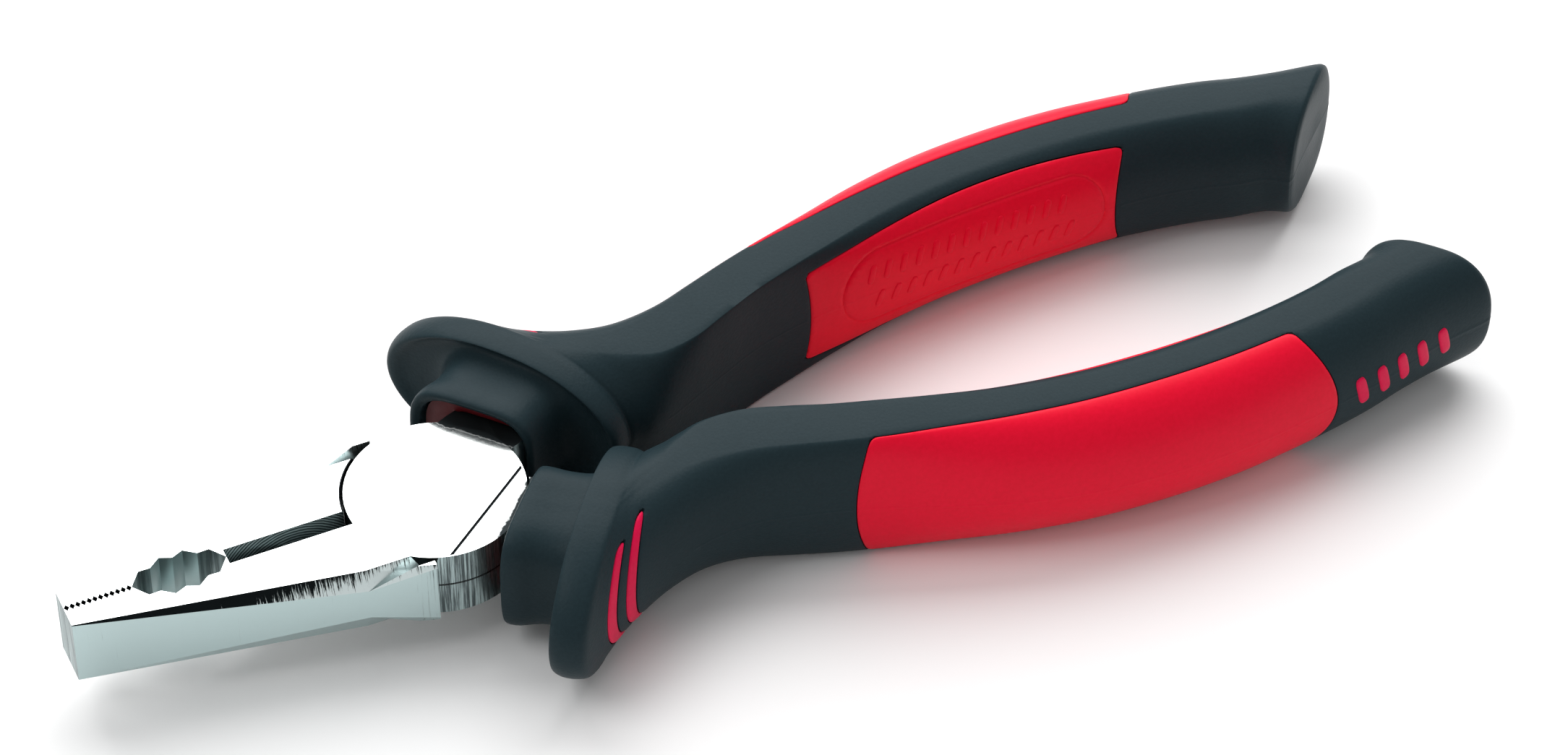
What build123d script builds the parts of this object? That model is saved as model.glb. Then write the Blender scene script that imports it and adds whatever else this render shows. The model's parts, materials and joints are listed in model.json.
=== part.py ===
from build123d import *

import math
import os

# Combination pliers with insulated, guarded two-colour handles, in millimetres.
# The jaws point to -X and the handles to +X. Z = 0 is the surface they lie on.
# Two forgings cross at a lap joint. The right one has its handle at +Y, its jaw at
# -Y and the upper lap. The left one is the same shape turned over about the long axis.

# Overall sizes
jaw_length = 47.1
handle_length = 132.9
grip_height = 20.6

# Head
head_radius = 11.1
head_thickness = 9.8
tip_half_width = 2.9
jaw_root_setback = 4.3
jaw_root_half_width = 11.6

# Clearances
lap_gap = 0.06
disc_gap = 0.35
parting_gap = 0.04
rivet_clearance = 0.04

# Side bevel of each jaw, deepest a little in front of the joint
bevel_width = 1.1
bevel_drop = 2.6
bevel_deepest_setback = 12.5
bevel_run_out = 2.0

# Working faces of the jaws
tooth_count = 12
tooth_depth = 0.28
teeth_length = 8.5
pipe_grip_length = 11.9
pipe_grip_teeth = 4
pipe_grip_depth = 3.2
pipe_grip_tooth_height = 0.75
cutter_length = 15.9
cutter_mouth_half_width = 1.2
cutter_overcut = 1.0

# Rivet
rivet_shank_radius = 3.6
rivet_head_radius = 4.97
rivet_head_depth = 1.4

# Line cut across each lap face, from the jaw root towards the handle
face_line_length = 16.2
face_line_width = 0.22
face_line_depth = 0.15
face_line_distance = 7.2
face_line_angle = 37.3

# Tang: each row is the setback from the pivot, the inner and outer edge, the half depth
shoulder_rows = [(3.0, 3.0, 9.5, 4.9), (8.6, 1.9, 11.6, 4.9), (14.5, 4.3, 12.3, 4.5)]
tang_half_width = 2.7
tang_half_depth = 3.1
tang_end_cover = 29.9

# Insulating sleeve over the tang
sleeve_wall = 1.0
sleeve_tip = 2.5
sleeve_recess = 0.8

# Grip: each row is the place along the grip, its centre line, half width and half height
grip_start = 20.0
grip_rows = [
    (0.000, 9.8, 7.3, 8.7),
    (0.108, 10.3, 6.7, 9.1),
    (0.226, 14.4, 5.0, 9.8),
    (0.334, 18.0, 5.9, 9.95),
    (0.472, 21.2, 7.5, 9.9),
    (0.580, 22.2, 7.8, 9.8),
    (0.688, 21.9, 7.5, 9.7),
    (0.767, 20.9, 7.2, 9.6),
    (0.845, 19.1, 7.3, 9.55),
    (0.924, 17.0, 7.1, 9.5),
    (1.000, 15.4, 6.6, 9.4),
]
end_cut_angle = 45.0
end_cut_offset = 21.9

# Collar round the tang and finger guard, both square to a line that leans outwards
guard_angle = 38.5
mouth_distance = 11.9
collar_start = 1.0
collar_centre = 7.95
collar_lean = 0.02
collar_half_width = 6.45
collar_half_height = 8.0
collar_corner = 3.2
guard_front = 19.3
guard_thickness = 5.0
guard_half_length = 16.4
guard_outset = 2.1
guard_crest = 2.1

# Red inlays, sunk flush in the grip
inlay_depth = 0.9
crease_offset = 1.4
outer_inlay_front = 50.0
outer_inlay_end_cover = 24.9
inner_inlay_front = 53.0
inner_inlay_end_cover = 34.9
inner_inlay_half_height = 7.6
stripe_start = 0.9
stripe_width = 1.3
stripe_gap = 0.6
stripe_half_height = 6.2
mark_count = 5
mark_width = 1.2
mark_pitch = 2.3
mark_half_height = 1.7
mark_end_cover = 20.9

# Derived places
pivot_x = jaw_length - (jaw_length + handle_length) / 2
mid_height = grip_height / 2
half_head = head_thickness / 2
half_gap = lap_gap / 2
reach = 2 * handle_length
under_disc = head_radius / 2
joint = Plane((pivot_x, 0, mid_height))
long_axis = Axis((pivot_x, 0, mid_height), (1, 0, 0))
guard_plane = Plane(
    (pivot_x, 0, mid_height),
    x_dir=(-math.sin(math.radians(guard_angle)), math.cos(math.radians(guard_angle)), 0),
    z_dir=(math.cos(math.radians(guard_angle)), math.sin(math.radians(guard_angle)), 0),
)


def cross_plane(setback):
    """Plane across the tool, its X along the row's Y and its Y up."""
    return Plane((pivot_x + setback, 0, mid_height), x_dir=(0, 1, 0), z_dir=(1, 0, 0))


def oval_loft(rows, inset):
    """Solid through an oval at each row, every oval smaller by the inset."""
    with BuildPart() as body:
        for setback, centre, half_width, half_height in rows:
            with BuildSketch(cross_plane(setback)):
                with Locations((centre, 0)):
                    Ellipse(half_width - inset, half_height - inset)
        loft()
    return body.part


def bar_loft(rows, growth, ruled):
    """Solid through a rectangle at each row, every rectangle grown on all its sides."""
    with BuildPart() as body:
        for setback, inner, outer, half_depth in rows:
            with BuildSketch(cross_plane(setback)):
                with Locations(((inner + outer) / 2, 0)):
                    Rectangle(outer - inner + 2 * growth, 2 * (half_depth + growth))
        loft(ruled=ruled)
    return body.part


def jaw_face():
    """Working face from the pivot to the tip: joint flat, pipe grip and fine teeth."""
    face = -parting_gap / 2
    teeth_end = -jaw_length + teeth_length
    grip_end = teeth_end + pipe_grip_length
    points = [(0, face), (grip_end, face)]
    steps = 2 * pipe_grip_teeth
    for step in range(1, steps):
        share = step / steps
        hollow = pipe_grip_depth * math.sqrt(math.sin(math.pi * share))
        relief = pipe_grip_tooth_height if step % 2 == 0 else 0
        points.append((grip_end - pipe_grip_length * share, face - hollow + relief))
    points.append((teeth_end, face))
    pitch = teeth_length / tooth_count
    for tooth in range(tooth_count):
        points.append((teeth_end - pitch * (tooth + 0.5), face - tooth_depth))
        points.append((teeth_end - pitch * (tooth + 1), face))
    return points


def jaw_edge(setback):
    """Y of the right forging's jaw side, at a setback in front of the pivot."""
    slope = (jaw_root_half_width - tip_half_width) / (jaw_length - jaw_root_setback)
    return -tip_half_width - slope * (jaw_length - setback)


def tang_rows():
    """The bar inside the grip, along the grip's centre line."""
    rows = []
    for setback, centre, _, _ in grip_stations():
        if setback < handle_length - tang_end_cover:
            rows.append((setback, centre - tang_half_width, centre + tang_half_width, tang_half_depth))
    return rows


def grip_stations():
    return [(grip_start + place * (handle_length - grip_start), *row) for place, *row in grip_rows]


def tang_and_shoulder(growth, tip):
    """Shoulder at the head and the bar behind it, grown on all sides and at its end."""
    rows = tang_rows()
    setback, inner, outer, half_depth = rows[-1]
    with BuildPart() as bar:
        add(bar_loft(shoulder_rows + rows[:1], growth, False))
        add(bar_loft(rows[:-1] + [(setback + tip, inner, outer, half_depth)], growth, True))
    return bar.part


tang_body = tang_and_shoulder(0, 0)
sleeve_body = tang_and_shoulder(sleeve_wall, sleeve_tip)
grip_body = oval_loft(grip_stations(), 0)
grip_core = oval_loft(grip_stations(), inlay_depth)


def forging(bore_clearance):
    """Jaw at -Y, upper lap and tang at +Y, bored for the rivet."""
    with BuildPart() as half:
        with BuildSketch(joint.offset(-half_head)):
            with BuildLine():
                Polyline(
                    *jaw_face(),
                    (-jaw_length, -tip_half_width),
                    (-jaw_root_setback, -jaw_root_half_width),
                    (-jaw_root_setback, -under_disc),
                    (0, -under_disc),
                    close=True,
                )
            make_face()
        extrude(amount=head_thickness)
        # Side bevels, above and below, each dying out at the tip and at the root
        for side in (1, -1):
            edge = jaw_edge(bevel_deepest_setback)
            with BuildSketch(cross_plane(-bevel_deepest_setback)) as deepest:
                with BuildLine():
                    Polyline(
                        (edge + bevel_width, side * half_head),
                        (edge, side * (half_head - bevel_drop)),
                        (edge - bevel_width, side * (half_head + bevel_width)),
                        close=True,
                    )
                make_face()
            ends = [
                Vertex(pivot_x - setback, jaw_edge(setback), mid_height + side * half_head)
                for setback in (jaw_length + bevel_run_out, jaw_root_setback - bevel_run_out)
            ]
            loft(sections=[ends[0], deepest.sketch.face(), ends[1]], ruled=True, mode=Mode.SUBTRACT)
        # Cutting edge, open to both faces and sharp at mid height
        with BuildSketch(cross_plane(-jaw_length + teeth_length + pipe_grip_length)):
            for side in (1, -1):
                with BuildLine():
                    Polyline(
                        (-parting_gap / 2, 0),
                        (-cutter_mouth_half_width, side * half_head),
                        (cutter_overcut, side * half_head),
                        (cutter_overcut, 0),
                        close=True,
                    )
                make_face()
        extrude(amount=cutter_length, mode=Mode.SUBTRACT)
        add(tang_body)
        with BuildSketch(joint.offset(-half_head)):
            Rectangle(2 * reach, reach)
        extrude(amount=head_thickness, mode=Mode.INTERSECT)
        # The other half's lap turns in this recess
        with BuildSketch(joint.offset(half_gap)):
            Circle(head_radius + disc_gap)
        extrude(amount=-head_thickness, mode=Mode.SUBTRACT)
        with BuildSketch(joint.offset(half_gap)):
            Circle(head_radius)
        extrude(amount=half_head - half_gap)
        # Line across the lap face
        line_plane = joint.offset(half_head).rotated((0, 0, face_line_angle))
        with BuildSketch(line_plane):
            with Locations((0, -face_line_distance)):
                Rectangle(face_line_length, face_line_width)
        extrude(amount=-face_line_depth, mode=Mode.SUBTRACT)
        # Bore and the seat of the rivet's head
        with BuildSketch(joint.offset(-half_head)):
            Circle(rivet_shank_radius + bore_clearance)
        extrude(amount=head_thickness, mode=Mode.SUBTRACT)
        with BuildSketch(joint.offset(half_head)):
            Circle(rivet_head_radius + bore_clearance)
        extrude(amount=-rivet_head_depth - bore_clearance, mode=Mode.SUBTRACT)
    return half.part


def turned_over(piece):
    return piece.rotate(long_axis, 180)


# Forgings and rivet
with BuildPart() as right_forging:
    add(forging(0))

with BuildPart() as left_forging:
    add(turned_over(forging(rivet_clearance)))

with BuildPart() as pivot_rivet:
    with BuildSketch(joint.offset(-half_head)):
        Circle(rivet_shank_radius)
    extrude(amount=head_thickness)
    for side in (1, -1):
        with BuildSketch(joint.offset(side * half_head)):
            Circle(rivet_head_radius)
        extrude(amount=-side * rivet_head_depth)

# Finger guard: an oval plate with a rounded crest
with BuildPart() as guard:
    with BuildSketch(guard_plane.offset(guard_front)):
        with Locations((guard_outset, 0)):
            Ellipse(guard_half_length, mid_height)
    extrude(amount=guard_thickness)
    fillet(guard.edges(), radius=guard_crest)

with BuildPart() as collar:
    for setback in (collar_start, grip_start + guard_thickness):
        with BuildSketch(cross_plane(setback)):
            with Locations((collar_centre + collar_lean * setback, 0)):
                RectangleRounded(2 * collar_half_width, 2 * collar_half_height, collar_corner)
    loft()
    split(bisect_by=guard_plane.offset(mouth_distance), keep=Keep.TOP)

# Insulating sleeve of the right handle, set back a little inside the collar's mouth
with BuildPart() as right_sleeve:
    add(sleeve_body)
    split(bisect_by=guard_plane.offset(mouth_distance + sleeve_recess), keep=Keep.TOP)
    add(tang_body, mode=Mode.SUBTRACT)

# Skins that the inlays are cut from
with BuildPart() as grip_skin:
    add(grip_body)
    add(grip_core, mode=Mode.SUBTRACT)

with BuildPart() as guard_skin:
    add(guard.part)
    with BuildSketch(guard_plane.offset(guard_front)):
        with Locations((guard_outset, 0)):
            Ellipse(guard_half_length - inlay_depth, mid_height - inlay_depth)
    extrude(amount=guard_thickness, mode=Mode.SUBTRACT)


def side_window(front, end_cover, side, half_height):
    """Block beside the grip's centre line, to cut one inlay out of the skin."""
    back = handle_length - end_cover
    edge = [(setback, centre + side * crease_offset) for setback, centre, _, _ in grip_stations()]
    with BuildPart() as window:
        with BuildSketch(joint.offset(-half_height)):
            with BuildLine():
                Spline(*edge)
                Polyline(edge[-1], (edge[-1][0], side * reach), (edge[0][0], side * reach), edge[0])
            make_face()
            with Locations(((front + back) / 2, 0)):
                Rectangle(back - front, 2 * reach, mode=Mode.INTERSECT)
        extrude(amount=2 * half_height)
    return window.part


with BuildPart() as right_outer_inlay:
    add(grip_skin.part)
    add(side_window(outer_inlay_front, outer_inlay_end_cover, 1, grip_height), mode=Mode.INTERSECT)

with BuildPart() as right_inner_inlay:
    add(grip_skin.part)
    add(
        side_window(inner_inlay_front, inner_inlay_end_cover, -1, inner_inlay_half_height),
        mode=Mode.INTERSECT,
    )

with BuildPart() as stripe_windows:
    for stripe in range(2):
        start = guard_front + stripe_start + stripe * (stripe_width + stripe_gap)
        with BuildSketch(guard_plane.offset(start)):
            with Locations((guard_outset + guard_half_length, 0)):
                Rectangle(guard_half_length, 2 * stripe_half_height)
        extrude(amount=stripe_width)

with BuildPart() as right_guard_stripes:
    add(guard_skin.part)
    add(stripe_windows.part, mode=Mode.INTERSECT)

with BuildPart() as mark_windows:
    for mark in range(mark_count):
        with BuildSketch(cross_plane(handle_length - mark_end_cover + mark * mark_pitch)):
            with Locations((grip_rows[-1][1] + reach / 2, 0)):
                Rectangle(reach, 2 * mark_half_height)
        extrude(amount=mark_width)

with BuildPart() as right_end_marks:
    add(grip_skin.part)
    add(mark_windows.part, mode=Mode.INTERSECT)

# Black outer grip: handle, guard and collar, hollow for the sleeve and pocketed for the inlays
with BuildPart() as right_grip:
    add(grip_body)
    split(bisect_by=guard_plane.offset(guard_front + guard_thickness / 2), keep=Keep.TOP)
    end_plane = Plane(
        (pivot_x + handle_length, end_cut_offset, mid_height),
        x_dir=(0, 0, 1),
        z_dir=(math.sin(math.radians(end_cut_angle)), -math.cos(math.radians(end_cut_angle)), 0),
    )
    split(bisect_by=end_plane, keep=Keep.BOTTOM)
    add(guard.part)
    add(collar.part)
    add(sleeve_body, mode=Mode.SUBTRACT)
    for inlay in (right_outer_inlay, right_inner_inlay, right_guard_stripes, right_end_marks):
        add(inlay.part, mode=Mode.SUBTRACT)

right_pieces = {
    "forging": right_forging,
    "sleeve": right_sleeve,
    "grip": right_grip,
    "outer_inlay": right_outer_inlay,
    "inner_inlay": right_inner_inlay,
    "guard_stripes": right_guard_stripes,
    "end_marks": right_end_marks,
}

os.makedirs("parts", exist_ok=True)
for kind, piece in right_pieces.items():
    piece.part.label = f"right_{kind}"
    export_step(piece.part, f"parts/right_{kind}.step")

# The left handle's soft pieces are the right one's, turned over
for kind, piece in right_pieces.items():
    if kind != "forging":
        with BuildPart() as left_piece:
            add(turned_over(piece.part))
        left_piece.part.label = f"left_{kind}"
        export_step(left_piece.part, f"parts/left_{kind}.step")

left_forging.part.label = "left_forging"
export_step(left_forging.part, "parts/left_forging.step")
pivot_rivet.part.label = "pivot_rivet"
export_step(pivot_rivet.part, "parts/pivot_rivet.step")
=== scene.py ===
import json
import math

import bmesh
import bpy
import numpy as np
from mathutils import Matrix, Vector


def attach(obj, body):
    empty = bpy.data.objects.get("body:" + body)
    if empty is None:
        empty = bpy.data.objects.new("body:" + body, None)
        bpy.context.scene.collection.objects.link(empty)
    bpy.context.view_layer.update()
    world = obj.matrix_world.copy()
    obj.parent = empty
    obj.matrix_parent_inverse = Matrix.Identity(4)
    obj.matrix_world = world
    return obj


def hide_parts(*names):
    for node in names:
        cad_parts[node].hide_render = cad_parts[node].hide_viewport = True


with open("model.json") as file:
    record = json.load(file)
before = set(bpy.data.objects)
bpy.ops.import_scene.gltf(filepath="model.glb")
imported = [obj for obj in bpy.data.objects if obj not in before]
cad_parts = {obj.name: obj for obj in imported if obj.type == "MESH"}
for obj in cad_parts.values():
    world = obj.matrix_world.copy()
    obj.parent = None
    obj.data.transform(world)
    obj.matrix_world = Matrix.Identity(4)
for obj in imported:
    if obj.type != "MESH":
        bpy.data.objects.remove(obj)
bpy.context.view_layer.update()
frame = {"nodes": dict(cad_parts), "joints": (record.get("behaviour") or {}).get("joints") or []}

# Insulated combination pliers. Shapes are worked out in millimetres about the rivet's
# middle, for the right handle: X towards the handle ends, Y outwards, Z up. The left
# handle is the same mould turned over about the long axis.

MM = 0.001
PIVOT = np.array(frame["joints"][0]["pos_m"])
HEAD_RADIUS = 11.1
HALF_HEAD = 4.9
GUARD_ANGLE = math.radians(38.5)
SIDES = {"right": 1, "left": -1}


# ---------------------------------------------------------------- meshes

def to_world(points, side):
    """Millimetres about the rivet to metres in the frame; the left side is turned over."""
    turned = np.array(points, float) * (1, side, side)
    return turned * MM + PIVOT


def mesh_object(name, points, faces, materials, side=1, crease_degrees=38):
    mesh = bpy.data.meshes.new(name)
    mesh.from_pydata(to_world(points, side).tolist(), [], np.asarray(faces).tolist())
    mesh.validate()
    for material in materials:
        mesh.materials.append(material)
    mesh.polygons.foreach_set("use_smooth", [True] * len(mesh.polygons))
    mesh.set_sharp_from_angle(angle=math.radians(crease_degrees))
    mesh.update()
    piece = bpy.data.objects.new(name, mesh)
    bpy.context.scene.collection.objects.link(piece)
    return piece


def evaluated_mesh(piece):
    """Plain mesh of an object with its modifiers worked in."""
    bpy.context.view_layer.update()
    graph = bpy.context.evaluated_depsgraph_get()
    return bpy.data.meshes.new_from_object(piece.evaluated_get(graph))


def settle(piece):
    """Replace an object's mesh by its finished one and drop its modifiers."""
    mesh = evaluated_mesh(piece)
    piece.modifiers.clear()
    piece.data = mesh
    return piece


def guard_point(depth, across):
    """Plan point at a depth behind the rivet square to the guard, and a distance across it."""
    c, s = math.cos(GUARD_ANGLE), math.sin(GUARD_ANGLE)
    return (depth * c - across * s, depth * s + across * c)


class Ring:
    """One cross-section: its inner and outer ends in plan, its half height and its shape."""

    def __init__(self, inner, outer, height, power=2.0, crease=(-0.8, 0.8), steps=4):
        self.values = np.array([*inner, *outer, height, power, *crease], float)
        self.steps = steps


QUARTER = 30
BAND = 6


def section(values):
    """Points round one ring, with how far across it each one lies."""
    inner, outer, height, power = values[0:2], values[2:4], values[4], values[5]
    crease_in, crease_out = values[6], values[7]
    centre = (inner + outer) / 2
    half = np.linalg.norm(outer - inner) / 2
    way = (outer - inner) / (2 * half)
    angle = np.linspace(0, math.pi / 2, QUARTER + 1)
    rise = np.sin(angle) ** (2 / power)
    run = np.cos(angle) ** (2 / power)
    outer_arc = np.c_[crease_out + (half - crease_out) * run, height * rise]
    inner_arc = np.c_[crease_in - (half + crease_in) * run, height * rise][::-1]
    share = np.linspace(0, 1, BAND + 1)[1:-1]
    crown = height + 0.015 * (crease_out - crease_in) * 4 * share * (1 - share)
    band = np.c_[crease_out + (crease_in - crease_out) * share, crown]
    top = np.vstack([outer_arc, band, inner_arc])
    loop = np.vstack([top, top[::-1][1:-1] * (1, -1)])
    points = np.c_[centre + np.outer(loop[:, 0], way), loop[:, 1]]
    return points, loop[:, 0]


def spline_rows(rings):
    """Catmull-Rom rows between the given rings."""
    rows = []
    values = [r.values for r in rings]
    count = len(values)
    for i in range(count - 1):
        before, here = values[max(i - 1, 0)], values[i]
        there, after = values[i + 1], values[min(i + 2, count - 1)]
        for t in np.arange(rings[i].steps) / rings[i].steps:
            rows.append(
                0.5 * (2 * here + (there - before) * t
                       + (2 * before - 5 * here + 4 * there - after) * t ** 2
                       + (3 * here - before - 3 * there + after) * t ** 3))
    rows.append(values[-1])
    return rows


# Columns of a surface table after X and Y: height in millimetres, how far along the handle,
# how far across the ring, and where the outer crease lies across it
Z, ALONG, ACROSS, CREASE = range(2, 6)


def loft(rings):
    """Closed surface through the rings: a table of points, and triangles."""
    table = []
    travelled, last = 0.0, None
    rows = spline_rows(rings)
    for row in rows:
        points, across = section(row)
        middle = (row[0:2] + row[2:4]) / 2
        if last is not None:
            travelled += np.linalg.norm(middle - last)
        last = middle
        full = np.full(len(points), 1.0)
        table.append(np.c_[points, travelled * full, across, row[7] * full])
    size = len(table[0])
    triangles = []
    a, b = np.arange(size), (np.arange(size) + 1) % size
    for r in range(len(rows) - 1):
        triangles += [np.c_[a, b, b + size] + r * size, np.c_[a, b + size, a + size] + r * size]
    ends = [table[0].mean(0), table[-1].mean(0)]
    count = size * len(rows)
    triangles.append(np.c_[b, a, np.full(size, count)])
    triangles.append(np.c_[np.full(size, count + 1), a + count - size, b + count - size])
    return np.vstack([*table, *ends]), np.vstack(triangles)


def score(table, faces, value, level):
    """Split the triangles along one level of a value, so that an outline runs on edges."""
    height = value(table) - level
    height[np.abs(height) < 0.015] = 0.0
    sign = np.sign(height).astype(int)
    signs = sign[faces]
    crossed = (signs.min(1) < 0) & (signs.max(1) > 0)
    cut, signs = faces[crossed], signs[crossed]
    on_line = (signs == 0).any(1)
    first = np.where(
        on_line, (signs == 0).argmax(1), (signs == -np.sign(signs.sum(1))[:, None]).argmax(1))
    cut = np.take_along_axis(cut, (first[:, None] + np.arange(3)) % 3, 1)
    lone, through = cut[~on_line], cut[on_line]
    edges = np.sort(np.vstack([lone[:, [0, 1]], lone[:, [0, 2]], through[:, [1, 2]]]), 1)
    edges, where = np.unique(edges, axis=0, return_inverse=True)
    a, b = edges.T
    share = (height[a] / (height[a] - height[b]))[:, None]
    index = len(table) + where.ravel()
    n = len(lone)
    one, two, new = index[:n], index[n:2 * n], index[2 * n:]
    faces = np.vstack([
        faces[~crossed],
        np.c_[lone[:, 0], one, two],
        np.c_[one, lone[:, 1], lone[:, 2]],
        np.c_[one, lone[:, 2], two],
        np.c_[through[:, 0], through[:, 1], new],
        np.c_[through[:, 0], new, through[:, 2]],
    ])
    return np.vstack([table, table[a] + (table[b] - table[a]) * share]), faces


def point_normals(points, faces):
    a, b, c = (points[faces[:, k]] for k in range(3))
    flat = np.cross(b - a, c - a)
    normals = np.zeros_like(points)
    for k in range(3):
        np.add.at(normals, faces[:, k], flat)
    return normals / np.maximum(np.linalg.norm(normals, axis=1), 1e-9)[:, None]


def shell(points, normals, faces, keep, top, bottom):
    """Closed piece over the kept triangles, from a top offset down to a bottom one."""
    patch = faces[keep]
    used, patch = np.unique(patch, return_inverse=True)
    patch = patch.reshape(-1, 3)
    upper = points[used] + normals[used] * top[used][:, None]
    lower = points[used] + normals[used] * bottom
    edges = np.vstack([patch[:, [0, 1]], patch[:, [1, 2]], patch[:, [2, 0]]])
    size = len(used)
    one_way = edges[:, 0] * size + edges[:, 1]
    rim = edges[~np.isin(one_way, edges[:, 1] * size + edges[:, 0])]
    a, b = rim.T
    walls = np.vstack([np.c_[b, a, a + size], np.c_[b, a + size, b + size]])
    return np.vstack([upper, lower]), np.vstack([patch, patch[:, ::-1] + size, walls])


# ---------------------------------------------------------------- grip shape

def bore_rings():
    """Inside of the collar, from its blind end out to the mouth."""
    return [
        Ring(guard_point(24.0, -4.6), guard_point(24.0, 7.4), 5.9, 3.4, steps=2),
        Ring(guard_point(18.0, -5.0), guard_point(18.0, 8.0), 6.3, 3.4, steps=3),
        Ring(guard_point(12.9, -5.4), guard_point(12.1, 8.7), 6.8, 3.4, steps=3),
        Ring(guard_point(12.2, -5.7), guard_point(11.3, 9.0), 7.1, 3.4, steps=3),
    ]


def collar_rings():
    """Lip and outside of the collar, down to the foot of the guard."""
    return [
        Ring(guard_point(11.9, -6.3), guard_point(10.9, 9.6), 7.8, 3.4, steps=3),
        Ring(guard_point(12.2, -6.75), guard_point(11.2, 10.1), 8.25, 3.4, steps=3),
        Ring(guard_point(13.4, -6.8), guard_point(12.8, 10.0), 8.3, 3.4, steps=3),
        Ring(guard_point(15.6, -6.9), guard_point(15.0, 9.4), 8.0, 3.3, steps=3),
        Ring(guard_point(18.0, -7.4), guard_point(17.6, 9.4), 7.9, 3.2, steps=4),
    ]


def guard_rings():
    """Dished front, rounded crest and swept back of the finger guard."""
    return [
        Ring(guard_point(19.5, -8.6), guard_point(19.6, 10.4), 8.2, 2.8, steps=4),
        Ring(guard_point(19.9, -10.6), guard_point(20.2, 12.4), 8.7, 2.4, steps=4),
        Ring(guard_point(19.5, -12.6), guard_point(19.9, 15.4), 9.5, 2.15, steps=4),
        Ring(guard_point(19.1, -13.6), guard_point(19.2, 17.3), 10.0, 2.05, steps=4),
        Ring(guard_point(19.3, -14.2), guard_point(19.4, 18.2), 10.2, 2.0, steps=4),
        Ring(guard_point(20.3, -14.5), guard_point(20.6, 18.7), 10.27, 2.0, steps=4),
        Ring(guard_point(21.8, -14.5), guard_point(22.2, 18.6), 10.2, 2.0, steps=4),
        Ring((26.6, 3.0), guard_point(23.6, 17.8), 9.95, 2.0, steps=4),
        Ring((27.2, 2.9), (9.9, 26.6), 9.6, 2.0, steps=6),
        Ring((28.0, 2.9), (13.8, 23.7), 9.15, 2.0, (-1.2, 0.8), steps=6),
        Ring((29.3, 2.8), (17.7, 21.5), 8.90, 1.94, (-1.8, 0.9), steps=7),
        Ring((30.8, 3.1), (22.6, 19.0), 8.85, 1.94, (-3.0, 1.2), steps=7),
        Ring((33.0, 3.9), (28.2, 17.1), 9.00, 1.89, (-4.2, 1.6), steps=7),
    ]


def handle_rings():
    """Handle from the neck to its slanted, flared end."""
    return [
        Ring((37.2, 5.8), (34.2, 16.6), 9.40, 1.84, (-4.6, 1.9), steps=7),
        Ring((41.9, 8.0), (39.5, 17.6), 9.75, 1.79, (-4.4, 2.0), steps=8),
        Ring((47.4, 10.3), (45.1, 19.1), 9.90, 1.79, (-4.1, 2.0), steps=9),
        Ring((53.5, 11.8), (51.0, 21.1), 9.95, 1.79, (-3.9, 1.9), steps=9),
        Ring((59.9, 12.6), (57.3, 23.7), 9.90, 1.82, (-3.6, 1.5), steps=11),
        Ring((67.9, 13.3), (65.7, 26.8), 9.85, 1.84, (-3.0, 1.2), steps=12),
        Ring((76.6, 14.0), (75.6, 29.0), 9.80, 1.87, (-2.6, 1.0), steps=12),
        Ring((85.6, 14.4), (86.0, 29.8), 9.75, 1.89, (-2.4, 0.9), steps=11),
        Ring((93.0, 14.5), (95.1, 29.6), 9.70, 1.89, (-2.4, 0.9), steps=10),
        Ring((98.8, 14.5), (102.7, 28.7), 9.65, 1.89, (-2.6, 0.9), steps=9),
        Ring((104.3, 14.2), (109.5, 27.6), 9.60, 1.91, (-2.9, 0.9), steps=9),
        Ring((109.5, 13.3), (115.5, 26.4), 9.55, 1.94, (-2.8, 0.8), steps=8),
        Ring((114.2, 12.0), (120.7, 24.9), 9.50, 2.04, (-2.2, 0.6), steps=8),
        Ring((118.3, 11.2), (125.7, 23.6), 9.45, 2.19, (-1.5, 0.5), steps=7),
    ]


def end_rings():
    """Rounded rim and slightly domed face of the slanted end."""
    return [
        Ring((120.5, 9.7), (131.4, 22.7), 9.40, 2.40, (-0.8, 0.5), steps=5),
        Ring((121.2, 9.7), (132.6, 22.2), 9.20, 2.45, (-0.6, 0.5), steps=4),
        Ring((121.9, 10.2), (132.7, 21.5), 8.75, 2.45, (-0.6, 0.5), steps=3),
        Ring((123.1, 11.5), (132.1, 20.2), 7.50, 2.40, (-0.5, 0.4), steps=3),
        Ring((125.7, 14.1), (130.4, 18.5), 4.00, 2.20, (-0.3, 0.3), steps=2),
    ]


# ---------------------------------------------------------------- inlays

def rounded(a, b, radius):
    """The larger of two distances, with the corner between them rounded."""
    a, b = a + radius, b + radius
    return np.hypot(np.maximum(a, 0), np.maximum(b, 0)) + np.minimum(np.maximum(a, b), 0) - radius


def outer_inlay(t):
    """Below nought inside the outer inlay, which reaches up and down to the creases."""
    ends = np.maximum(59.75 + 0.0191 * t[:, Z] ** 2 - t[:, ALONG],
                      t[:, ALONG] - 118.3 + 0.0235 * t[:, Z] ** 2)
    return rounded(t[:, CREASE] + 0.12 - t[:, ACROSS], ends, 1.0)


def inner_inlay(t):
    """Below nought inside the inner inlay, which has hollowed ends."""
    ends = np.maximum(65.8 - 0.0095 * t[:, Z] ** 2 - t[:, ALONG],
                      t[:, ALONG] - 113.1 - 0.0205 * t[:, Z] ** 2)
    half_height = 8.9 - 0.0017 * (t[:, ALONG] - 93.0) ** 2
    sides = np.maximum(np.abs(t[:, Z]) - half_height, t[:, ACROSS] + 1.0)
    return rounded(sides, ends, 0.9)


def guard_stripes(t):
    """Below nought inside the two stripes on the outer side of the guard."""
    first = rounded(np.abs(t[:, ALONG] - 33.2) - 0.62, np.abs(t[:, Z]) - 8.4, 0.5)
    second = rounded(np.abs(t[:, ALONG] - 30.8) - 0.62, np.abs(t[:, Z]) - 7.8, 0.5)
    return np.maximum(np.minimum(first, second), 2.6 - t[:, ACROSS])


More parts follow.
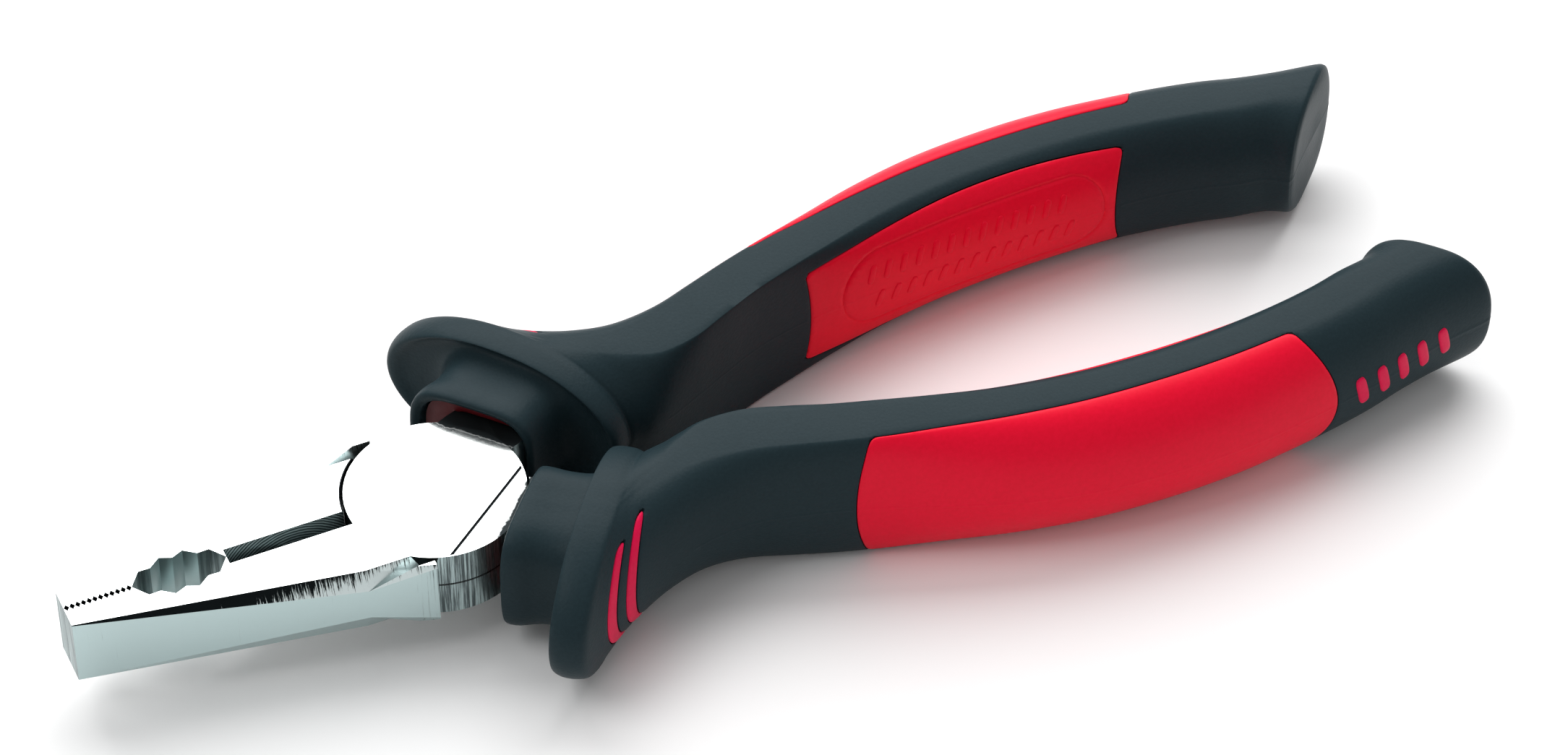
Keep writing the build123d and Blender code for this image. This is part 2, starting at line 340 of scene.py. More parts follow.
def panel(t):
    """Distance from the long rounded outline on the inner inlay."""
    middle, half_length, half_height = 91.0, 20.4, 5.9
    aside = np.maximum(np.abs(t[:, ALONG] - middle) - (half_length - half_height), 0)
    line = np.hypot(aside, t[:, Z] - 0.6) - half_height
    return np.where(t[:, ACROSS] < 0, line, 50.0)


def mould_line(t):
    """Height above the parting line of the mould, behind the guard."""
    return np.where(t[:, ALONG] > 40, t[:, Z], 50.0)


POCKET_DEPTH = 0.9
RIM = [0.30, 0.07, 0.0]
INLAY_RIM = [-0.05, -0.16, -0.45]
INLAYS = {"outer_inlay": outer_inlay, "inner_inlay": inner_inlay, "guard_stripes": guard_stripes}


def grip_rings():
    return bore_rings() + collar_rings() + guard_rings() + handle_rings() + end_rings()


def build_grip():
    """Scored grip surface: table, triangles, normals and each inlay's distances."""
    table, faces = loft(grip_rings())
    for value in INLAYS.values():
        for level in RIM + INLAY_RIM:
            table, faces = score(table, faces, value, level)
    for level in (-0.3, 0.0, 0.3):
        table, faces = score(table, faces, panel, level)
    for level in (-0.14, 0.14):
        table, faces = score(table, faces, mould_line, level)
    normals = point_normals(table[:, :3], faces)
    return table, faces, normals, {name: value(table) for name, value in INLAYS.items()}


def surface_detail(table):
    """Offsets for the raised mould line and the sunk outline of the panel."""
    raised = 0.035 * (np.abs(mould_line(table)) < 0.02)
    line = panel(table)
    return raised - 0.17 * np.interp(np.abs(line), [0, 0.3], [1, 0])


def make_grips(materials):
    table, faces, normals, distances = build_grip()
    points = table[:, :3]
    detail = surface_detail(table)
    nearest = np.min(list(distances.values()), 0)
    sunk = np.interp(nearest, [-0.001, 0.069, 0.30], [-POCKET_DEPTH, -0.07, 0.0])
    sunk = np.where(nearest > 0.30, detail, sunk)
    body = points + normals * sunk[:, None]
    for side, sign in SIDES.items():
        grip = mesh_object(side + "_grip_shell", body, faces, [materials["black"]], sign)
        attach(grip, side + "_half")
        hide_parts(side + "_grip")
        for name, distance in distances.items():
            keep = distance[faces].max(1) < INLAY_RIM[0] + 0.02
            top = np.interp(distance, INLAY_RIM[::-1], [0.03, -0.02, -0.12]) + detail
            inlay_points, inlay_faces = shell(points, normals, faces, keep, top, -0.88)
            finish = "red_mark" if name == "guard_stripes" else "red"
            inlay = mesh_object(
                f"{side}_{name}_moulding", inlay_points, inlay_faces, [materials[finish]], sign)
            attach(inlay, side + "_half")
            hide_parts(f"{side}_{name}")
    return table, normals


def surface_at(table, normals, along, height, outer):
    """Place and normal on the handle's outer or inner side, at a distance along and a height."""
    size = 4 * QUARTER + 2 * BAND
    upwards = np.arange(-QUARTER, QUARTER + 1)
    half = upwards if outer else size // 2 + upwards[::-1]
    starts = np.arange(len(spline_rows(grip_rings()))) * size
    ring = np.searchsorted(table[starts, ALONG], along) - 1
    found = []
    for r in (ring, ring + 1):
        rows = r * size + half % size
        z = table[rows, Z]
        found.append((table[rows[0], ALONG], [
            np.interp(height, z, column)
            for column in (*table[rows, :3].T, *normals[rows].T)]))
    (first, a), (second, b) = found
    share = (along - first) / (second - first)
    mixed = np.array(a) * (1 - share) + np.array(b) * share
    return mixed[:3], mixed[3:]


# ---------------------------------------------------------------- sleeve in the collar

def sleeve_rings():
    """Red insulation between the collar and the tang: inside, front edge, outside."""
    return [
        Ring(guard_point(21.0, -5.0), guard_point(21.0, 3.0), 4.4, 6.0, steps=2),
        Ring(guard_point(14.6, -5.35), guard_point(14.4, 4.2), 4.9, 6.0, steps=3),
        Ring(guard_point(13.3, -5.4), guard_point(12.7, 4.6), 5.1, 5.0, steps=3),
        Ring(guard_point(13.1, -5.45), guard_point(12.3, 6.0), 5.7, 4.0, steps=3),
        Ring(guard_point(13.1, -5.5), guard_point(12.3, 8.0), 6.45, 3.4, steps=3),
        Ring(guard_point(13.4, -5.3), guard_point(12.7, 8.45), 6.65, 3.4, steps=3),
        Ring(guard_point(18.0, -4.92), guard_point(18.0, 7.9), 6.2, 3.4, steps=2),
        Ring(guard_point(23.8, -4.5), guard_point(23.8, 7.3), 5.8, 3.4, steps=1),
    ]


def make_sleeves(material):
    table, faces = loft(sleeve_rings())
    for side, sign in SIDES.items():
        sleeve = mesh_object(side + "_sleeve_edge", table[:, :3], faces, [material], sign)
        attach(sleeve, side + "_half")
        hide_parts(side + "_sleeve")


# ---------------------------------------------------------------- raised bars

def bar_tree(material):
    """Sets a rounded bar on each point, square to the surface and leaning along the handle."""
    tree = bpy.data.node_groups.new("raised_bars", "GeometryNodeTree")
    face = tree.interface
    face.new_socket("Geometry", in_out="INPUT", socket_type="NodeSocketGeometry")
    for name, size in (("Bar width", 0.0009), ("Bar length", 0.0033), ("Bar depth", 0.0006)):
        socket = face.new_socket(name, in_out="INPUT", socket_type="NodeSocketFloat")
        socket.default_value = size
    face.new_socket("Geometry", in_out="OUTPUT", socket_type="NodeSocketGeometry")
    nodes, link = tree.nodes, tree.links.new
    entry, leave = nodes.new("NodeGroupInput"), nodes.new("NodeGroupOutput")
    ball = nodes.new("GeometryNodeMeshUVSphere")
    ball.inputs["Segments"].default_value = 20
    ball.inputs["Rings"].default_value = 10
    ball.inputs["Radius"].default_value = 0.5
    # A ball pressed towards a box, so that the bar has a flat top and soft edges
    place = nodes.new("GeometryNodeInputPosition")
    parts = nodes.new("ShaderNodeSeparateXYZ")
    link(place.outputs["Position"], parts.inputs["Vector"])
    pressed = nodes.new("ShaderNodeCombineXYZ")
    for axis in "XYZ":
        size, power, sign, back = (nodes.new("ShaderNodeMath") for _ in range(4))
        size.operation, power.operation = "ABSOLUTE", "POWER"
        sign.operation, back.operation = "SIGN", "MULTIPLY"
        link(parts.outputs[axis], size.inputs[0])
        link(parts.outputs[axis], sign.inputs[0])
        link(size.outputs[0], power.inputs[0])
        power.inputs[1].default_value = 0.6
        link(power.outputs[0], back.inputs[0])
        link(sign.outputs[0], back.inputs[1])
        link(back.outputs[0], pressed.inputs[axis])
    squared = nodes.new("GeometryNodeSetPosition")
    link(ball.outputs["Mesh"], squared.inputs["Geometry"])
    link(pressed.outputs["Vector"], squared.inputs["Position"])
    size = nodes.new("ShaderNodeCombineXYZ")
    for axis, name in zip("XYZ", ("Bar width", "Bar length", "Bar depth")):
        link(entry.outputs[name], size.inputs[axis])
    shaped = nodes.new("GeometryNodeTransform")
    link(squared.outputs["Geometry"], shaped.inputs["Geometry"])
    link(size.outputs["Vector"], shaped.inputs["Scale"])
    rotation = None
    for axis, name in (("Z", "facing"), ("Y", "leaning")):
        attribute = nodes.new("GeometryNodeInputNamedAttribute")
        attribute.data_type = "FLOAT_VECTOR"
        attribute.inputs["Name"].default_value = name
        align = nodes.new("FunctionNodeAlignRotationToVector")
        align.axis = axis
        align.pivot_axis = "AUTO" if axis == "Z" else "Z"
        link(attribute.outputs["Attribute"], align.inputs["Vector"])
        if rotation is not None:
            link(rotation, align.inputs["Rotation"])
        rotation = align.outputs["Rotation"]
    spread = nodes.new("GeometryNodeInstanceOnPoints")
    link(entry.outputs["Geometry"], spread.inputs["Points"])
    link(shaped.outputs["Geometry"], spread.inputs["Instance"])
    link(rotation, spread.inputs["Rotation"])
    solid = nodes.new("GeometryNodeRealizeInstances")
    painted = nodes.new("GeometryNodeSetMaterial")
    painted.inputs["Material"].default_value = material
    smooth = nodes.new("GeometryNodeSetShadeSmooth")
    link(spread.outputs["Instances"], solid.inputs["Geometry"])
    link(solid.outputs["Geometry"], smooth.inputs["Geometry"])
    link(smooth.outputs["Geometry"], painted.inputs["Geometry"])
    link(painted.outputs["Geometry"], leave.inputs["Geometry"])
    return tree


def bars(name, spots, tree, sizes, side, material):
    """Bars at the given places, normals and leaning directions, as one plain mesh."""
    places, facings, leanings = (np.array(column) for column in zip(*spots))
    mesh = bpy.data.meshes.new(name)
    mesh.from_pydata(to_world(places, side).tolist(), [], [])
    for label, values in (("facing", facings), ("leaning", leanings)):
        layer = mesh.attributes.new(label, "FLOAT_VECTOR", "POINT")
        layer.data.foreach_set("vector", (values * (1, side, side)).astype(np.float32).ravel())
    piece = bpy.data.objects.new(name, mesh)
    bpy.context.scene.collection.objects.link(piece)
    modifier = piece.modifiers.new("bars", "NODES")
    modifier.node_group = tree
    for socket in tree.interface.items_tree:
        if socket.in_out == "INPUT" and socket.name in sizes:
            modifier[socket.identifier] = sizes[socket.name]
    settle(piece)
    piece.data.materials.clear()
    piece.data.materials.append(material)
    return piece


def make_bars(table, normals, materials):
    """A row of bars at the handle's end, and two rows of small ribs inside the panel."""
    mark_tree, rib_tree = bar_tree(materials["red_mark"]), bar_tree(materials["red"])
    marks, ribs = [], []
    for step in range(5):
        along = 121.8 + 3.2 * step
        place, facing = surface_at(table, normals, along, -0.25, True)
        marks.append((place - 0.19 * facing, facing, (0.25, 0, 1)))
    for row, height in ((0, 3.2), (1, -1.2)):
        for step in range(13):
            along = 75.0 + 2.45 * step + 1.2 * row
            place, facing = surface_at(table, normals, along, height, False)
            ribs.append((place - 0.06 * facing, facing, (0.3, 0, 1)))
    for side, sign in SIDES.items():
        row = bars(side + "_end_bars", marks, mark_tree,
                   {"Bar width": 0.00125, "Bar length": 0.0036, "Bar depth": 0.0006},
                   sign, materials["red_mark"])
        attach(row, side + "_half")
        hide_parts(side + "_end_marks")
        rows = bars(side + "_panel_ribs", ribs, rib_tree,
                    {"Bar width": 0.00075, "Bar length": 0.0022, "Bar depth": 0.00036},
                    sign, materials["red"])
        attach(rows, side + "_half")


# ---------------------------------------------------------------- forgings

# Painted shade: the gap finish is near-black steel on faces in the head's narrow gaps and tooth
# notches, standing for the shade that falls there.
FINISHES = ("steel", "ground_side", "black_bevel", "cutter", "scallop", "gap")
POLISHED, SIDE, BLACK_BEVEL, CUTTER, SCALLOP, GAP_SHADE = range(len(FINISHES))

# Metres from the rivet's middle; X is negative towards the jaws' tip
JAW_START = -0.0035
CUTTER_END = -0.0272
TEETH_FROM = -0.0386
TOOTH_PITCH = 0.000708
JAW_LENGTH = 0.0471
LEVEL = 0.98
EDGE_BEVEL = 0.00005


def forging_finish(face, centre):
    """Which finish a face of a forging has, as a place in FINISHES."""
    x, y = centre.x - PIVOT[0], abs(centre.y - PIVOT[1])
    reach = math.hypot(x, y)
    upright = abs(face.normal.z)
    sloping = upright < LEVEL
    jaw = x < JAW_START
    depth = HALF_HEAD * MM - abs(centre.z - PIVOT[2])
    # Painted shade: sloping and sunk faces round the joint disc, and the disc's walls, get the
    # near-black gap finish.
    if reach < 0.0109 and (sloping and reach > 0.007 or 0.0001 < depth < 0.0002):
        return GAP_SHADE
    if reach < 0.0117 and x < -0.004 and upright < 0.5:
        return GAP_SHADE
    if jaw and 0.1 < face.normal.z < LEVEL and y > 0.0024:
        return BLACK_BEVEL
    # Painted shade: the tooth notches get the near-black gap finish.
    if x < -0.0385 and sloping and y < 0.0012:
        return GAP_SHADE
    if jaw and sloping and y < 0.0024:
        return CUTTER if x > CUTTER_END else SCALLOP
    if upright < 0.5 or (jaw and sloping):
        return SIDE
    return POLISHED


def make_forgings(materials):
    for side in SIDES:
        node = side + "_forging"
        mesh = frame["nodes"][node].data.copy()
        mesh.materials.clear()
        for finish in FINISHES:
            mesh.materials.append(materials[finish])
        work = bmesh.new()
        work.from_mesh(mesh)
        bmesh.ops.remove_doubles(work, verts=work.verts, dist=2e-6)
        bmesh.ops.dissolve_limit(
            work, angle_limit=math.radians(0.6), verts=work.verts, edges=work.edges)
        work.normal_update()
        for face in work.faces:
            face.material_index = forging_finish(face, face.calc_center_median())
            face.smooth = True
        work.to_mesh(mesh)
        work.free()
        mesh.set_sharp_from_angle(angle=math.radians(28))
        piece = bpy.data.objects.new(side + "_forged_half", mesh)
        bpy.context.scene.collection.objects.link(piece)
        bevel = piece.modifiers.new("edges", "BEVEL")
        bevel.width = EDGE_BEVEL
        bevel.segments = 2
        bevel.limit_method = "ANGLE"
        bevel.angle_limit = math.radians(32)
        bevel.harden_normals = True
        settle(piece)
        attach(piece, side + "_half")
        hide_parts(node)
    rivet = frame["nodes"]["pivot_rivet"]
    rivet.data.materials.clear()
    rivet.data.materials.append(materials["rivet"])


# ---------------------------------------------------------------- finishes

def add(tree, kind, inputs=(), **settings):
    """New node with its settings, and its inputs set to values or linked to sockets."""
    node = tree.nodes.new(kind)
    for name, value in settings.items():
        setattr(node, name, value)
    for name, value in dict(inputs).items():
        if isinstance(value, bpy.types.NodeSocket):
            tree.links.new(value, node.inputs[name])
        else:
            node.inputs[name].default_value = value
    return node


def new_group(name, inputs, outputs):
    """Shader group with named sockets; gives its tree, what comes in and what goes out."""
    tree = bpy.data.node_groups.new(name, "ShaderNodeTree")
    for label, kind, value in inputs:
        socket = tree.interface.new_socket(
            label, in_out="INPUT", socket_type="NodeSocket" + kind)
        if value is not None:
            socket.default_value = value
    for label, kind in outputs:
        tree.interface.new_socket(label, in_out="OUTPUT", socket_type="NodeSocket" + kind)
    entry, leave = tree.nodes.new("NodeGroupInput"), tree.nodes.new("NodeGroupOutput")
    return tree, entry.outputs, leave.inputs


def moulded_grain_group():
    """Spark-eroded mould texture with slow changes of gloss from handling."""
    tree, given, result = new_group(
        "moulded_grain",
        [("Vector", "Vector", None), ("Grain size", "Float", 2600.0), ("Depth", "Float", 0.3),
         ("Gloss", "Float", 0.45), ("Gloss change", "Float", 0.12)],
        [("Normal", "Vector"), ("Roughness", "Float"), ("Tone", "Float")])
    grain = add(tree, "ShaderNodeTexNoise", {
        "Vector": given["Vector"], "Scale": given["Grain size"], "Detail": 3.0, "Roughness": 0.6})
    pits = add(tree, "ShaderNodeTexVoronoi", {
        "Vector": given["Vector"], "Scale": given["Grain size"]})
    height = add(tree, "ShaderNodeMath", {0: grain.outputs[0], 1: pits.outputs[0]}, operation="ADD")
    bump = add(tree, "ShaderNodeBump", {
        "Height": height.outputs[0], "Strength": given["Depth"], "Distance": 0.00004})
    slow = add(tree, "ShaderNodeTexNoise", {
        "Vector": given["Vector"], "Scale": 90.0, "Detail": 4.0, "Roughness": 0.65})
    centred = add(tree, "ShaderNodeMath", {0: slow.outputs[0], 1: 0.5}, operation="SUBTRACT")
    change = add(tree, "ShaderNodeMath", {
        0: centred.outputs[0], 1: given["Gloss change"], 2: given["Gloss"]},
        operation="MULTIPLY_ADD")
    tree.links.new(bump.outputs["Normal"], result["Normal"])
    tree.links.new(change.outputs[0], result["Roughness"])
    tree.links.new(grain.outputs[0], result["Tone"])
    return tree


def grinding_group():
    """Streaks drawn out along one direction, as a ragged mask and as a fine height."""
    tree, given, result = new_group(
        "grinding_streaks",
        [("Vector", "Vector", None), ("Streak", "Vector", (40.0, 2400.0, 2400.0)),
         ("Cut", "Float", 0.5), ("Softness", "Float", 0.1)],
        [("Mask", "Float"), ("Height", "Float")])
    drawn = add(tree, "ShaderNodeVectorMath",
                {0: given["Vector"], 1: given["Streak"]}, operation="MULTIPLY")
    noise = add(tree, "ShaderNodeTexNoise", {
        "Vector": drawn.outputs[0], "Scale": 1.0, "Detail": 5.0, "Roughness": 0.7})
    low = add(tree, "ShaderNodeMath", {0: given["Cut"], 1: given["Softness"]}, operation="SUBTRACT")
    high = add(tree, "ShaderNodeMath", {0: given["Cut"], 1: given["Softness"]}, operation="ADD")
    mask = add(tree, "ShaderNodeMapRange", {
        "Value": noise.outputs[0], "From Min": low.outputs[0], "From Max": high.outputs[0]},
        interpolation_type="SMOOTHSTEP")
    tree.links.new(mask.outputs["Result"], result["Mask"])
    tree.links.new(noise.outputs[0], result["Height"])
    return tree


def forged_zone_group():
    """One where the tang falls away, dark and rough from the forge, with a ragged edge."""
    tree, given, result = new_group(
        "forged_zone", [("Vector", "Vector", None), ("Raggedness", "Float", 0.0012)],
        [("Zone", "Float")])
    parts = add(tree, "ShaderNodeSeparateXYZ", {"Vector": given["Vector"]})
    aside = add(tree, "ShaderNodeMath", {0: parts.outputs["Y"]}, operation="ABSOLUTE")
    run = add(tree, "ShaderNodeMath", {0: parts.outputs["X"], 1: 0.733}, operation="MULTIPLY")
    reach = add(tree, "ShaderNodeMath", {0: aside.outputs[0], 1: 0.68, 2: run.outputs[0]},
                operation="MULTIPLY_ADD")
    ragged = add(tree, "ShaderNodeTexNoise", {
        "Vector": given["Vector"], "Scale": 700.0, "Detail": 5.0, "Roughness": 0.7})
    shifted = add(tree, "ShaderNodeMath", {
        0: ragged.outputs[0], 1: given["Raggedness"], 2: reach.outputs[0]},
        operation="MULTIPLY_ADD")
    zone = add(tree, "ShaderNodeMapRange", {
        "Value": shifted.outputs[0], "From Min": 0.0104, "From Max": 0.0107})
    tree.links.new(zone.outputs["Result"], result["Zone"])
    return tree


def calc(tree, operation, *values):
    """Result of one sum on numbers and sockets."""
    return add(tree, "ShaderNodeMath", dict(enumerate(values)), operation=operation).outputs[0]


def painted_gap_shade_lines_group():
    """Painted shade: one in the narrow gaps of the head, round the joint disc, along the cut line
    and between teeth.
    """
    tree, given, result = new_group("painted_gap_shade_lines", [("Vector", "Vector", None)], [("Line", "Float")])
    parts = add(tree, "ShaderNodeSeparateXYZ", {"Vector": given["Vector"]}).outputs
    x, y, z = parts["X"], parts["Y"], parts["Z"]
    aside = calc(tree, "MULTIPLY", y, calc(tree, "SIGN", z))
    reach = calc(tree, "SQRT", calc(tree, "MULTIPLY_ADD", x, x, calc(tree, "MULTIPLY", y, y)))

    def both(*masks):
        found = masks[0]
        for mask in masks[1:]:
            found = calc(tree, "MULTIPLY", found, mask)
        return found

    # Each mask paints shade into a narrow gap: the crescent round the disc, the cut line, the
    # notches between teeth.
    from_rim = calc(tree, "ABSOLUTE", calc(tree, "SUBTRACT", reach, 0.01142))
    crescent = both(calc(tree, "LESS_THAN", from_rim, 0.00017),
                    calc(tree, "LESS_THAN", x, JAW_START),
                    calc(tree, "GREATER_THAN", aside, 0.0003))
    across = calc(tree, "MULTIPLY_ADD", aside, 0.7955,
                  calc(tree, "MULTIPLY_ADD", x, -0.606, 0.0072))
    cut_line = both(calc(tree, "LESS_THAN", calc(tree, "ABSOLUTE", across), 0.0002),
                    calc(tree, "LESS_THAN", reach, 0.0109))
    share = calc(tree, "FRACT", calc(tree, "DIVIDE", calc(tree, "ADD", x, JAW_LENGTH), TOOTH_PITCH))
    taper = calc(tree, "ABSOLUTE", calc(tree, "MULTIPLY_ADD", share, 2.0, -1.0))
    spread = calc(tree, "DIVIDE", calc(tree, "ABSOLUTE", y), 0.00052)
    teeth = both(calc(tree, "LESS_THAN", calc(tree, "ADD", taper, spread), 1.0),
                 calc(tree, "LESS_THAN", x, TEETH_FROM))
    line = calc(tree, "MAXIMUM", calc(tree, "MAXIMUM", crescent, cut_line), teeth)
    tree.links.new(line, result["Line"])
    return tree


def new_material(name):
    """Empty material, with places measured from the rivet's middle."""
    material = bpy.data.materials.new(name)
    material.use_nodes = True
    tree = material.node_tree
    place = add(tree, "ShaderNodeTexCoord").outputs["Object"]
    centred = add(tree, "ShaderNodeMapping", {"Vector": place, "Location": tuple(-PIVOT)})
    return material, tree, tree.nodes["Principled BSDF"], centred.outputs["Vector"]


def mix_colour(tree, share, first, second):
    node = add(tree, "ShaderNodeMix", data_type="RGBA")
    for index, value in ((0, share), (6, first), (7, second)):
        if isinstance(value, bpy.types.NodeSocket):
            tree.links.new(value, node.inputs[index])
        else:
            node.inputs[index].default_value = (*value, 1) if index else value
    return node.outputs[2]


def mix_value(tree, share, first, second):
    return add(tree, "ShaderNodeMapRange",
               {"Value": share, "To Min": first, "To Max": second}).outputs["Result"]


def moulded(name, grain, colour, light, size, depth, gloss, specular):
    """Moulded plastic: fine grain, slightly uneven tone and gloss."""
    material, tree, shader, place = new_material(name)
    texture = add(tree, "ShaderNodeGroup", node_tree=grain)
    for socket, value in (("Grain size", size), ("Depth", depth), ("Gloss", gloss)):
        texture.inputs[socket].default_value = value
    tree.links.new(place, texture.inputs["Vector"])
    tone = mix_colour(tree, texture.outputs["Tone"], colour, light)
    tree.links.new(tone, shader.inputs["Base Color"])
    tree.links.new(texture.outputs["Roughness"], shader.inputs["Roughness"])
    tree.links.new(texture.outputs["Normal"], shader.inputs["Normal"])
    shader.inputs["Specular IOR Level"].default_value = specular
    return material


def metal(name, streaks, streak, cut, softness, dark, bright, rough, bump=0.1, zone=None):
    """Ground steel: streaks change its tone and gloss, and stand as a fine relief."""
    material, tree, shader, place = new_material(name)
    marks = add(tree, "ShaderNodeGroup", node_tree=streaks)
    for socket, value in (("Streak", streak), ("Cut", cut), ("Softness", softness)):
        marks.inputs[socket].default_value = value
    tree.links.new(place, marks.inputs["Vector"])
    colour = mix_colour(tree, marks.outputs["Mask"], dark, bright)
    gloss = mix_value(tree, marks.outputs["Mask"], *rough)
    if zone is not None:
        forged = add(tree, "ShaderNodeGroup", {"Vector": place}, node_tree=zone).outputs["Zone"]
        colour = mix_colour(tree, forged, colour, (0.028, 0.034, 0.036))
        blend = add(tree, "ShaderNodeMix", {0: forged, 3: 0.62}, data_type="FLOAT")
        tree.links.new(gloss, blend.inputs[2])
        gloss = blend.outputs[0]
    tree.links.new(colour, shader.inputs["Base Color"])
    tree.links.new(gloss, shader.inputs["Roughness"])
    relief = add(tree, "ShaderNodeBump", {
        "Height": marks.outputs["Height"], "Strength": bump, "Distance": 0.00003})
    tree.links.new(relief.outputs["Normal"], shader.inputs["Normal"])
    shader.inputs["Metallic"].default_value = 1.0
    return material, tree, shader, place, marks


def bevel_finish(streaks):
    """Black bevel, scratched bright by the grinder, more and more towards the joint."""
    material, tree, _, place, marks = metal(
        "black_bevel", streaks, (5200.0, 600.0, 200.0), 0.6, 0.04,
        (0.008, 0.011, 0.012), (0.62, 0.70, 0.70), (0.6, 0.3), 0.2)
    parts = add(tree, "ShaderNodeSeparateXYZ", {"Vector": place})
    nearness = add(tree, "ShaderNodeMapRange", {
        "Value": parts.outputs["X"], "From Min": -0.034, "From Max": -0.007,
        "To Min": 0.74, "To Max": 0.32})
    depth = add(tree, "ShaderNodeMapRange", {
        "Value": parts.outputs["Z"], "From Min": 0.0022, "From Max": 0.0049,
        "To Min": -0.12, "To Max": 0.14})
    cut = add(tree, "ShaderNodeMath",
              {0: nearness.outputs["Result"], 1: depth.outputs["Result"]}, operation="ADD")
    tree.links.new(cut.outputs[0], marks.inputs["Cut"])
    return material


def side_finish(streaks):
    """Sides: even grey on the jaws, dark upright streaks round the joint, and painted shade where
    the two halves meet on the disc.
    """
    material, tree, shader, place, marks = metal(
        "ground_side", streaks, (3600.0, 3600.0, 90.0), 0.46, 0.10,
        (0.10, 0.125, 0.13), (0.50, 0.62, 0.62), (0.5, 0.3), 0.2)
    flat = add(tree, "ShaderNodeVectorMath", {0: place, 1: (1.0, 1.0, 0.0)}, operation="MULTIPLY")
    distance = add(tree, "ShaderNodeVectorMath", {0: flat.outputs[0]}, operation="LENGTH")
    cut = add(tree, "ShaderNodeMapRange", {
        "Value": distance.outputs["Value"], "From Min": 0.0112, "From Max": 0.0135,
        "To Min": 0.52, "To Max": 0.26})
    tree.links.new(cut.outputs["Result"], marks.inputs["Cut"])
    # Painted shade: a near-black band along the line where the two halves meet, on the disc's side.
    parts = add(tree, "ShaderNodeSeparateXYZ", {"Vector": place})
    height = add(tree, "ShaderNodeMath", {0: parts.outputs["Z"]}, operation="ABSOLUTE")
    near = add(tree, "ShaderNodeMapRange", {
        "Value": height.outputs[0], "From Min": 0.00010, "From Max": 0.00018,
        "To Min": 1.0, "To Max": 0.0})
    on_disc = add(tree, "ShaderNodeMath",
                  {0: distance.outputs["Value"], 1: 0.0116}, operation="LESS_THAN")
    seam_shade = add(tree, "ShaderNodeMath",
               {0: near.outputs["Result"], 1: on_disc.outputs[0]}, operation="MULTIPLY")
    ground = shader.inputs["Base Color"].links[0].from_socket
    dark = mix_colour(tree, seam_shade.outputs[0], ground, (0.012, 0.014, 0.015))
    tree.links.new(dark, shader.inputs["Base Color"])
    return material


def cutter_finish(streaks):
    """Cutting faces: dark, with the curved marks of a small grinding wheel."""
    material, tree, shader, place, _ = metal(
        "cutter", streaks, (900.0, 900.0, 500.0), 0.5, 0.2,
        (0.05, 0.06, 0.065), (0.24, 0.27, 0.28), (0.5, 0.3), 0.2)
    wheel = add(tree, "ShaderNodeMapping", {"Vector": place, "Location": (0.018, 0.0, 0.0045)})
    arcs = add(tree, "ShaderNodeTexWave", {
        "Vector": wheel.outputs["Vector"], "Scale": 900.0, "Distortion": 1.6, "Detail": 3.0},
        wave_type="RINGS", rings_direction="Y")
    shine = mix_colour(tree, arcs.outputs["Fac"], (0.018, 0.024, 0.028), (0.40, 0.48, 0.48))
    tree.links.new(shine, shader.inputs["Base Color"])
    return material


def polished_finish(streaks, zone):
    """Polished faces, with painted shade in the narrow gaps, and rough where the tang is left
    forged.
    """
    material, tree, shader, place, _ = metal(
        "polished_steel", streaks, (35.0, 2600.0, 2600.0), 0.42, 0.3,
        (0.74, 0.78, 0.78), (0.88, 0.91, 0.90), (0.24, 0.15), 0.05, zone)
    # Painted shade: near-black lines in the narrow gaps round the disc, along the cut line and
    # between teeth.
    lines = add(tree, "ShaderNodeGroup", {"Vector": place}, node_tree=painted_gap_shade_lines_group())
    plain = shader.inputs["Base Color"].links[0].from_socket
    dark = mix_colour(tree, lines.outputs["Line"], plain, (0.006, 0.007, 0.008))
    tree.links.new(dark, shader.inputs["Base Color"])
    return material


def make_materials():
    grain, streaks, zone = moulded_grain_group(), grinding_group(), forged_zone_group()
    made = {
        "black": moulded("black_grip", grain, (0.012, 0.024, 0.029), (0.018, 0.034, 0.041),
                         2400.0, 0.35, 0.42, 0.08),
        "red": moulded("red_inlay", grain, (0.74, 0.002, 0.022), (0.88, 0.004, 0.036),
                       1800.0, 0.12, 0.40, 0.12),
        "red_mark": moulded("red_marks", grain, (0.66, 0.003, 0.055), (0.80, 0.006, 0.075),
                            1800.0, 0.12, 0.42, 0.12),
        "dark_red": moulded("red_sleeve", grain, (0.07, 0.001, 0.003), (0.11, 0.001, 0.004),
                            1500.0, 0.2, 0.5, 0.3),
    }
    made["steel"] = polished_finish(streaks, zone)
    made["rivet"] = metal("rivet_steel", streaks, (60.0, 2200.0, 2200.0), 0.45, 0.3,
                          (0.70, 0.74, 0.74), (0.87, 0.90, 0.89), (0.27, 0.17), 0.06)[0]
    made["ground_side"] = side_finish(streaks)
    made["black_bevel"] = bevel_finish(streaks)
    made["cutter"] = cutter_finish(streaks)
    # Painted shade: near-black streaked steel for the faces in narrow gaps and tooth notches.
    made["gap"] = metal("painted_gap_shade_steel", streaks, (900.0, 900.0, 900.0), 0.5, 0.3,
                        (0.006, 0.008, 0.008), (0.024, 0.028, 0.030), (0.6, 0.4), 0.2)[0]
    made["scallop"] = metal("scallop_steel", streaks, (1700.0, 1700.0, 60.0), 0.5, 0.25,
                            (0.10, 0.125, 0.13), (0.42, 0.50, 0.50), (0.5, 0.32), 0.2)[0]
    return made


# ---------------------------------------------------------------- stage

def area_light(name, place, target, size, power):
    light = bpy.data.lights.new(name, "AREA")
    light.shape = "RECTANGLE"
    light.size, light.size_y = size
    light.energy = power
    lamp = bpy.data.objects.new(name, light)
    lamp.location = place
    lamp.rotation_euler = (Vector(target) - Vector(place)).to_track_quat("-Z", "Y").to_euler()
    bpy.context.scene.collection.objects.link(lamp)


